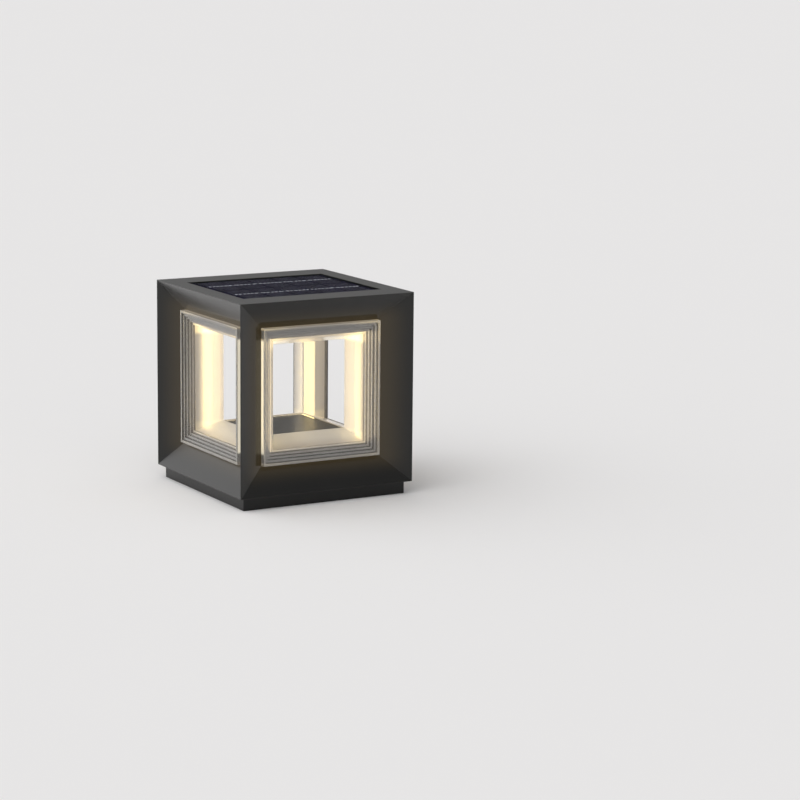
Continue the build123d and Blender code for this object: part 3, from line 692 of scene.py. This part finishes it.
slotOf = {entry["node"]: entry["material_slot"] for entry in frame["record"]["subparts"]}
for nodeName, slotName in slotOf.items():
    nodes[nodeName].data.materials.clear()
    nodes[nodeName].data.materials.append(finishes[slotName])
print("finishes made:", len(finishes))


def keepPiece(pieceName, mesh, body, replaced):
    piece = bpy.data.objects.new(pieceName, mesh)
    scene.collection.objects.link(piece)
    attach(piece, body)
    if replaced:
        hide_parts(*replaced)


# castings and plates with softened edges
edgeCut = {
    "roof_frame": 0.28, "base_frame": 0.28, "plinth_skirt": 0.4, "floor_plate": 0.35, "ceiling_plate": 0.35,
}
edgeCut.update({f"post_{side}": 0.28 for side in ("front_left", "front_right", "rear_left", "rear_right")})
edgeRules = {
    "merge": 0.002, "flatAngle": 0.4, "shortest": 3.0, "sharpAngle": 40.0, "straight": 0.01,
    "segments": 2, "profile": 0.5,
}


def softenEdges(nodeName, cut, rules):
    mesh = nodes[nodeName].data.copy()
    shape = bmesh.new()
    shape.from_mesh(mesh)
    bmesh.ops.remove_doubles(shape, verts=shape.verts, dist=rules["merge"] * mm)
    bmesh.ops.dissolve_limit(
        shape, angle_limit=math.radians(rules["flatAngle"]), verts=shape.verts, edges=shape.edges,
    )
    shortest, sharp = rules["shortest"] * mm, math.radians(rules["sharpAngle"])
    chosen = []
    for edge in shape.edges:
        if not edge.is_manifold or edge.calc_length() < shortest or edge.calc_face_angle(0) < sharp:
            continue
        run = edge.verts[1].co - edge.verts[0].co
        if sum(abs(part) > rules["straight"] * mm for part in run) == 1:    # mitred seams stay tight
            chosen.append(edge)
    rub = shape.faces.layers.float.new("edgeRub")
    cutFaces = bmesh.ops.bevel(
        shape, geom=chosen, offset=cut * mm, segments=rules["segments"], profile=rules["profile"],
        affect="EDGES", clamp_overlap=True,
    )["faces"]
    for face in cutFaces:
        face[rub] = 1.0
    for face in shape.faces:
        face.smooth = False
    shape.to_mesh(mesh)
    shape.free()
    mesh.name = nodeName + "Soft"
    return mesh


for nodeName, cut in edgeCut.items():
    softMesh = softenEdges(nodeName, cut, edgeRules)
    # the foot takes the darker coat: painted shade near the floor
    if nodeName == "plinth_skirt":
        softMesh.materials[0] = finishes["shaded_foot_coat"]
    keepPiece(nodeName + "Soft", softMesh, "lamp", [nodeName])
print("castings softened:", len(edgeCut))


# geometry node helpers
def newTree(name, inputs):
    tree = bpy.data.node_groups.new(name, "GeometryNodeTree")
    tree.is_modifier = True
    kinds = {
        "shape": "NodeSocketGeometry", "value": "NodeSocketFloat", "count": "NodeSocketInt",
        "vector": "NodeSocketVector", "finish": "NodeSocketMaterial",
    }
    for label, kind in inputs:
        tree.interface.new_socket(label, in_out="INPUT", socket_type=kinds[kind])
    tree.interface.new_socket("Geometry", in_out="OUTPUT", socket_type="NodeSocketGeometry")
    return tree, put(tree, "NodeGroupInput").outputs, put(tree, "NodeGroupOutput").inputs


def reshape(tree, kind, shape, **values):
    return put(tree, "GeometryNode" + kind, dict(values, Geometry=shape)).outputs["Geometry"]


def scatter(tree, points, instance, **values):
    return put(
        tree, "GeometryNodeInstanceOnPoints", dict(values, Points=points, Instance=instance),
    ).outputs["Instances"]


def position(tree):
    return put(tree, "GeometryNodeInputPosition").outputs["Position"]


def span(tree, count, pitch):
    return times(tree, minus(tree, count, 1.0), pitch)


def halved(tree, value):
    return times(tree, value, 0.5)


def centredLine(tree, way, count, pitch):
    start = times(tree, span(tree, count, pitch), -0.5)
    return put(tree, "GeometryNodeMeshLine", {
        "Count": count, "Start Location": fromAxes(tree, **{way: start}),
        "Offset": fromAxes(tree, **{way: pitch}),
    }).outputs["Mesh"]


def closeTree(tree, given, result, shape):
    real = reshape(tree, "RealizeInstances", shape)
    wire(tree, reshape(tree, "SetMaterial", real, Material=given["Finish"]), result["Geometry"])


def runTree(tree, name, values, start=None):
    holder = bpy.data.objects.new(name + "Nodes", start or bpy.data.meshes.new(name + "Start"))
    scene.collection.objects.link(holder)
    modifier = holder.modifiers.new("nodes", "NODES")
    modifier.node_group = tree
    for item in tree.interface.items_tree:
        if item.item_type == "SOCKET" and item.in_out == "INPUT" and item.name in values:
            modifier[item.identifier] = values[item.name]
    graph = bpy.context.evaluated_depsgraph_get()
    mesh = bpy.data.meshes.new_from_object(holder.evaluated_get(graph), depsgraph=graph)
    mesh.name = name
    holder.modifiers.remove(modifier)
    bpy.data.objects.remove(holder)
    return mesh


def faceOutwards(mesh):
    shape = bmesh.new()
    shape.from_mesh(mesh)
    bmesh.ops.recalc_face_normals(shape, faces=shape.faces)
    shape.to_mesh(mesh)
    shape.free()


ringRules = {"columns": 5, "merge": 0.001}    # four corners and the first one again


def makeMitredRing(rules):
    # an outline carried round four mitred corners; its points hold insets in X and Y, and height in Z
    tree, given, result = newTree("mitredRing", [
        ("Outline", "shape"), ("Half X", "value"), ("Half Y", "value"),
        ("Tip", "vector"), ("Turn", "vector"), ("Place", "vector"),
        ("Finish", "finish"), ("Outer Finish", "finish"), ("Outer From", "value"),
    ])
    size = put(tree, "GeometryNodeAttributeDomainSize", {"Geometry": given["Outline"]})
    count = size.outputs["Point Count"]
    around = calc(tree, "ADD", count, 1.0)
    grid = put(tree, "GeometryNodeMeshGrid", {
        "Vertices X": rules["columns"], "Vertices Y": around,
    }).outputs["Mesh"]
    index = put(tree, "GeometryNodeInputIndex").outputs["Index"]
    corner = calc(tree, "FLOOR", calc(tree, "DIVIDE", index, around))
    along = calc(tree, "MODULO", calc(tree, "MODULO", index, around), count)
    point = axesOf(tree, put(tree, "GeometryNodeSampleIndex", {
        "Geometry": given["Outline"], "Value": position(tree), "Index": along,
    }, data_type="FLOAT_VECTOR").outputs["Value"])
    angle = calc(tree, "MULTIPLY_ADD", corner, math.pi / 2, math.pi / 4)
    signX, signY = (calc(tree, "SIGN", calc(tree, turn, angle)) for turn in ("COSINE", "SINE"))
    spot = fromAxes(
        tree,
        X=times(tree, signX, minus(tree, given["Half X"], point["X"])),
        Y=times(tree, signY, minus(tree, given["Half Y"], point["Y"])),
        Z=point["Z"],
    )
    ring = reshape(tree, "SetPosition", grid, Position=spot)
    ring = reshape(tree, "MergeByDistance", ring, Distance=rules["merge"] * mm)
    for move in ("Tip", "Turn"):
        turned = put(tree, "FunctionNodeEulerToRotation", {"Euler": given[move]}).outputs["Rotation"]
        ring = reshape(tree, "Transform", ring, Rotation=turned)
    ring = reshape(tree, "Transform", ring, Translation=given["Place"])
    ring = reshape(tree, "RealizeInstances", ring)
    ring = reshape(tree, "SetMaterial", ring, Material=given["Finish"])
    out = farthest(tree, axesOf(tree, position(tree)))
    outer = calc(tree, "GREATER_THAN", out, given["Outer From"])
    ring = reshape(tree, "SetMaterial", ring, Selection=outer, Material=given["Outer Finish"])
    wire(tree, ring, result["Geometry"])
    return tree


mitredRing = makeMitredRing(ringRules)


def outlineMesh(name, points):
    mesh = bpy.data.meshes.new(name)
    count = len(points)
    mesh.from_pydata(points, [(i, (i + 1) % count) for i in range(count)], [])
    return mesh


roundShare = 0.4    # of a side, so that the rounds at its two ends don't meet


def roundOutline(points, radius):
    rounded = []
    for index, corner in enumerate(points):
        corner = Vector(corner)
        ends = []
        for other in (points[index - 1], points[(index + 1) % len(points)]):
            way = Vector(other) - corner
            ends.append(corner + way.normalized() * min(radius, way.length * roundShare))
        rounded += [ends[0], (ends[0] + corner * 2 + ends[1]) / 4, ends[1]]
    return [tuple(point) for point in rounded]


# rim with five steps, then a tunnel that narrows to the square middle
def lensOutline(shape):
    width, depth, wall = shape["stepWidth"] * mm, shape["stepDepth"] * mm, shape["wall"] * mm
    throat = -lensHigh.y
    narrowX = rimHalf - throat + shape["mitreGap"] * mm
    narrowY = rimRise - throat + shape["mitreGap"] * mm
    mouth = shape["steps"] * width
    sheet = shape["sheet"] * mm
    backEnd = mouthFront - (sheet - depth) - shape["backLap"] * depth
    rimBack = rimFront - shape["rimDepth"] * mm
    points = []
    for step in range(shape["steps"]):
        face = rimFront - depth * step
        points += [(width * step, width * step, face), (width * (step + 1), width * (step + 1), face)]
    points += [
        (mouth, mouth, mouthFront), (narrowX, narrowY, throat),
        (narrowX - wall, narrowY - wall, throat + wall), (mouth - wall, mouth - wall, backEnd),
    ]
    for step in reversed(range(1, shape["steps"])):    # the back follows the steps
        back = rimFront - depth * step - sheet
        near, far = width * (step + 1) - sheet, max(width * step - sheet, wall)
        points += [(near, near, back), (far, far, back)]
    points += [(wall, wall, rimBack), (0.0, 0.0, rimBack)]
    return roundOutline(points, shape["round"] * mm)


lensPoints = lensOutline(lensShape)
for side, turn in {"front": 0, "right": 90, "rear": 180, "left": 270}.items():
    lensMesh = runTree(mitredRing, "lensRing_" + side, {
        "Half X": rimHalf, "Half Y": rimRise,
        "Tip": (math.pi / 2, 0.0, 0.0), "Turn": (0.0, 0.0, math.radians(turn)),
        "Place": (0.0, 0.0, lampMiddle), "Finish": finishes["clear_acrylic"],
        "Outer Finish": finishes["stepped_rim"], "Outer From": mouthFront,
    }, outlineMesh("lensOutline_" + side, lensPoints))
    faceOutwards(lensMesh)
    keepPiece("lensRing_" + side, lensMesh, "lamp", ["lens_" + side])
print("lenses made")

# seal round the panel, with a rounded lip
sealShape = {"lip": 0.45}


def makeSeal(shape):
    low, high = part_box("panel_gasket")
    width = high.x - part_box("solar_glass")[1].x
    corners = [(0.0, low.z), (0.0, high.z), (width, high.z), (width, low.z)]
    points = roundOutline([(inset, inset, height) for inset, height in corners], shape["lip"] * mm)
    mesh = runTree(mitredRing, "panelSeal", {
        "Half X": high.x, "Half Y": high.y, "Finish": finishes["black_rubber"],
        "Outer Finish": finishes["black_rubber"], "Outer From": 0.0,
    }, outlineMesh("sealOutline", points))
    faceOutwards(mesh)
    keepPiece("panelSeal", mesh, "lamp", ["panel_gasket"])


makeSeal(sealShape)

# cell strips of the panel
cellGrid = {"columns": 5, "rows": 2, "columnGap": 1.9, "rowGap": 2.6}
cellLow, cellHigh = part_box("solar_cells")


def cellSize(total, count, gap):
    return (total - (count - 1) * gap * mm) / count


cellWidth = cellSize(cellHigh.x - cellLow.x, cellGrid["columns"], cellGrid["columnGap"])
cellLength = cellSize(cellHigh.y - cellLow.y, cellGrid["rows"], cellGrid["rowGap"])
gridValues = {
    "Columns": cellGrid["columns"], "Rows": cellGrid["rows"],
    "Column Pitch": cellWidth + cellGrid["columnGap"] * mm, "Row Pitch": cellLength + cellGrid["rowGap"] * mm,
}

# printed fingers on the strips, of silver that is greyer than the ribbons
fingerShape = {"fingers": 15, "width": 0.3, "thick": 0.03, "margin": 0.7, "endShare": 0.4}
silverLook = {
    "color": (0.105, 0.099, 0.125), "tintSpread": 0.5, "roughness": 0.6,
    "streakScale": 700.0, "spotScale": 300.0,
    "bump": 0.1, "bumpDepth": 0.02 * mm, "metallic": 0.1,
}
metalFinish("printed_silver", silverLook)


def makeFingerTree():
    tree, given, result = newTree("cellFingers", [
        ("Columns", "count"), ("Rows", "count"), ("Column Pitch", "value"), ("Row Pitch", "value"),
        ("Fingers", "count"), ("Finger Pitch", "value"), ("Finger Size", "vector"),
        ("Place", "vector"), ("Finish", "finish"),
    ])
    finger = put(tree, "GeometryNodeMeshCube", {"Size": given["Finger Size"]}).outputs["Mesh"]
    strip = scatter(tree, centredLine(tree, "X", given["Fingers"], given["Finger Pitch"]), finger)
    cells = put(tree, "GeometryNodeMeshGrid", {
        "Size X": span(tree, given["Columns"], given["Column Pitch"]), "Vertices X": given["Columns"],
        "Size Y": span(tree, given["Rows"], given["Row Pitch"]), "Vertices Y": given["Rows"],
    }).outputs["Mesh"]
    moved = reshape(tree, "Transform", scatter(tree, cells, strip), Translation=given["Place"])
    closeTree(tree, given, result, moved)
    return tree


def makeFingers(shape):
    margin, thick = shape["margin"] * mm, shape["thick"] * mm
    mesh = runTree(makeFingerTree(), "cellFingers", dict(gridValues, **{
        "Fingers": shape["fingers"],
        "Finger Pitch": (cellWidth - 2 * margin) / (shape["fingers"] - shape["endShare"]),
        "Finger Size": (shape["width"] * mm, cellLength - 2 * margin, thick),
        "Place": (0.0, 0.0, cellHigh.z + thick / 2), "Finish": finishes["printed_silver"],
    }))
    keepPiece("cellFingers", mesh, "lamp", [])


makeFingers(fingerShape)
print("panel seal and fingers made")

# bus ribbons, wandering a little, pinched and pressed down between the cells, with solder at each cell's ends
ribbonShape = {
    "steps": 300, "stepsAcross": 3, "layers": 2, "seed": 7,
    "wander": 0.35, "wanderScale": 45.0, "wanderDetail": 1.0,
    "ripple": 0.475, "ripplePitch": 4.6, "jitter": 1.2, "jitterScale": 150.0, "jitterDetail": 2.0,
    "pinch": 0.8, "pinchFrom": 0.5, "pinchEnd": 1.5, "dip": 0.2,
    "bead": (1.7, 1.15, 0.11), "beadInset": 1.5, "beadLeast": 0.75, "beadRounds": 2,
}


def makeRibbonTree(shape):
    tree, given, result = newTree("busRibbons", [
        ("Ribbon Size", "vector"), ("Steps", "count"), ("Columns", "count"), ("Rows", "count"),
        ("Column Pitch", "value"), ("Row Pitch", "value"), ("Cell Width", "value"),
        ("Wander", "value"), ("Ripple", "value"), ("Ripple Pitch", "value"), ("Pinch", "value"),
        ("Dip", "value"), ("Bead Size", "vector"), ("Bead Inset", "value"), ("Bead Height", "value"),
        ("Seed", "count"), ("Place", "vector"), ("Finish", "finish"),
    ])
    flat = put(tree, "GeometryNodeMeshCube", {
        "Size": given["Ribbon Size"], "Vertices X": given["Steps"],
        "Vertices Y": shape["stepsAcross"], "Vertices Z": shape["layers"],
    }).outputs["Mesh"]
    laid = scatter(tree, centredLine(tree, "Y", given["Rows"], given["Row Pitch"]), flat)
    laid = reshape(tree, "RealizeInstances", laid)
    spot = axesOf(tree, position(tree))
    middle = times(tree, calc(tree, "SIGN", spot["Y"]), halved(tree, given["Row Pitch"]))
    side = minus(tree, spot["Y"], middle)
    # nearness to a cell's end: 0 between cells, 0.5 at the end
    part = calc(tree, "WRAP", calc(tree, "DIVIDE", spot["X"], given["Column Pitch"]), 0.5, -0.5)
    edge = minus(tree, 0.5, calc(tree, "ABSOLUTE", part))
    gap = minus(tree, given["Column Pitch"], given["Cell Width"])
    near = calc(tree, "DIVIDE", times(tree, edge, given["Column Pitch"]), gap)
    between = invert(tree, ease(tree, near, shape["pinchFrom"], shape["pinchEnd"]))
    sway = fromAxes(tree, X=spot["X"], Y=middle)
    slow, quick = (
        noise(tree, sway, shape[kind + "Scale"], "4D", W=given["Seed"], Detail=shape[kind + "Detail"])
        for kind in ("wander", "jitter")
    )
    turns = calc(tree, "DIVIDE", spot["X"], given["Ripple Pitch"])
    turns = calc(tree, "MULTIPLY_ADD", quick, shape["jitter"], turns)
    swell = calc(tree, "SINE", times(tree, turns, 2 * math.pi))
    wide = calc(tree, "MULTIPLY_ADD", minus(tree, swell, 1.0), given["Ripple"], 1.0)
    wide = times(tree, wide, invert(tree, times(tree, between, given["Pinch"])))
    drift = times(tree, minus(tree, slow, 0.5), given["Wander"])
    across = calc(tree, "ADD", calc(tree, "MULTIPLY_ADD", side, wide, middle), drift)
    thick = times(tree, calc(tree, "ADD", spot["Z"], given["Bead Height"]), wide)
    drop = calc(tree, "MULTIPLY_ADD", between, given["Dip"], given["Bead Height"])
    lower = minus(tree, thick, drop)
    bent = reshape(tree, "SetPosition", laid, Position=fromAxes(tree, X=spot["X"], Y=across, Z=lower))
    # a bead at both ends of each cell
    ends = put(tree, "GeometryNodeMeshLine", {
        "Count": times(tree, times(tree, given["Columns"], given["Rows"]), 2.0),
    }).outputs["Mesh"]
    index = put(tree, "GeometryNodeInputIndex").outputs["Index"]
    pair = calc(tree, "FLOOR", calc(tree, "DIVIDE", index, 2.0))
    column = calc(tree, "MODULO", pair, given["Columns"])
    row = calc(tree, "FLOOR", calc(tree, "DIVIDE", pair, given["Columns"]))
    way = calc(tree, "MULTIPLY_ADD", calc(tree, "MODULO", index, 2.0), 2.0, -1.0)
    reach = minus(tree, halved(tree, given["Cell Width"]), given["Bead Inset"])
    column = minus(tree, column, halved(tree, minus(tree, given["Columns"], 1.0)))
    row = minus(tree, row, halved(tree, minus(tree, given["Rows"], 1.0)))
    beadX = times(tree, column, given["Column Pitch"])
    beadX = calc(tree, "ADD", beadX, times(tree, way, reach))
    beadY = times(tree, row, given["Row Pitch"])
    spots = fromAxes(tree, X=beadX, Y=beadY, Z=given["Bead Height"])
    ends = reshape(tree, "SetPosition", ends, Position=spots)
    bead = put(tree, "GeometryNodeMeshIcoSphere", {
        "Radius": 0.5, "Subdivisions": shape["beadRounds"],
    }).outputs["Mesh"]
    grow = put(tree, "FunctionNodeRandomValue", {    # 2 and 3 are the least and most of a single value
        2: shape["beadLeast"], 3: 1.0, "Seed": given["Seed"],
    }, data_type="FLOAT").outputs[1]
    beads = scatter(tree, ends, bead, Scale=scaled(tree, given["Bead Size"], grow))
    both = put(tree, "GeometryNodeJoinGeometry")
    for piece in (bent, beads):
        wire(tree, piece, both.inputs["Geometry"])
    moved = reshape(tree, "Transform", both.outputs["Geometry"], Translation=given["Place"])
    closeTree(tree, given, result, moved)
    return tree


def makeRibbons(shape):
    low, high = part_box("cell_ribbons")
    width = high.y - gridValues["Row Pitch"] / 2
    thick = high.z - low.z
    mesh = runTree(makeRibbonTree(shape), "busRibbons", dict(gridValues, **{
        "Ribbon Size": (high.x - low.x, 2 * width, thick), "Steps": shape["steps"],
        "Cell Width": cellWidth, "Wander": shape["wander"] * mm, "Ripple": shape["ripple"],
        "Ripple Pitch": shape["ripplePitch"] * mm, "Pinch": shape["pinch"],
        "Dip": shape["dip"] * mm, "Bead Size": tuple(part * 2 * mm for part in shape["bead"]),
        "Bead Inset": shape["beadInset"] * mm, "Bead Height": thick / 2, "Seed": shape["seed"],
        "Place": (0.0, 0.0, (low.z + high.z) / 2), "Finish": finishes["tinned_ribbon"],
    }))
    faceOutwards(mesh)
    keepPiece("busRibbons", mesh, "lamp", ["cell_ribbons"])


makeRibbons(ribbonShape)
print("bus ribbons laid")

# soft light, broad and brighter on the left, and a pale floor
light = {
    "bright": (1.46, 1.455, 1.45), "dim": (0.15, 0.15, 0.151),
    "brightAt": 1.0, "dimAt": -0.7, "from": (-1.0, 0.0, 0.0),
    "above": (0.38, 0.38, 0.38), "aboveFrom": 0.45, "aboveFull": 1.0,
    "floor": (0.862, 0.854, 0.854), "floorHalf": 40.0, "floorMottle": 3.0, "floorShade": 0.995,
    "keyStrength": 0.22, "keySoftness": 60.0, "keyFrom": (-0.5, -0.1, 0.9),
}


def setLight(light):
    world = bpy.data.worlds.new("studio")
    scene.world = world
    world.use_nodes = True
    tree = world.node_tree
    way = put(tree, "ShaderNodeTexCoord").outputs["Generated"]
    toward = vectorCalc(tree, "DOT_PRODUCT", {0: way, 1: light["from"]})["Value"]
    side = ease(tree, toward, light["dimAt"], light["brightAt"])
    tone = blendColor(tree, side, opaque(light["dim"]), opaque(light["bright"]))
    high = ease(tree, axesOf(tree, way)["Z"], light["aboveFrom"], light["aboveFull"])
    both = added(tree, tone, scaled(tree, light["above"], high))
    wire(tree, both, tree.nodes["Background"].inputs["Color"])
    lamp = bpy.data.lights.new("keyLamp", "SUN")
    lamp.energy, lamp.angle = light["keyStrength"], math.radians(light["keySoftness"])
    key = bpy.data.objects.new("keyLamp", lamp)
    key.rotation_mode = "QUATERNION"
    key.rotation_quaternion = (-Vector(light["keyFrom"])).to_track_quat("-Z", "Y")
    scene.collection.objects.link(key)


def addFloor(light):
    half = light["floorHalf"]
    corners = [(-half, -half, 0), (half, -half, 0), (half, half, 0), (-half, half, 0)]
    mesh = bpy.data.meshes.new("floor")
    mesh.from_pydata(corners, [], [(0, 1, 2, 3)])
    floor = bpy.data.objects.new("floor", mesh)
    scene.collection.objects.link(floor)
    finish = bpy.data.materials.new("paleFloor")
    finish.use_nodes = True
    tree = finish.node_tree
    shader = tree.nodes["Principled BSDF"]
    mottle = noise(tree, put(tree, "ShaderNodeTexCoord").outputs["Object"], light["floorMottle"])
    pale = light["floor"]
    shade = tuple(part * light["floorShade"] for part in pale)
    feed(tree, shader.inputs, {
        "Base Color": blendColor(tree, mottle, opaque(shade), opaque(pale)),
        "Roughness": 1.0, "Specular IOR Level": 0.0,
    })
    # from below the floor is clear, so the underside can be looked at
    clear = put(tree, "ShaderNodeBsdfTransparent").outputs["BSDF"]
    below = put(tree, "ShaderNodeNewGeometry").outputs["Backfacing"]
    mixed = put(tree, "ShaderNodeMixShader", {0: below, 1: shader.outputs["BSDF"], 2: clear})
    wire(tree, mixed.outputs["Shader"], tree.nodes["Material Output"].inputs["Surface"])
    mesh.materials.append(finish)


setLight(light)
addFloor(light)
print("light and floor set")
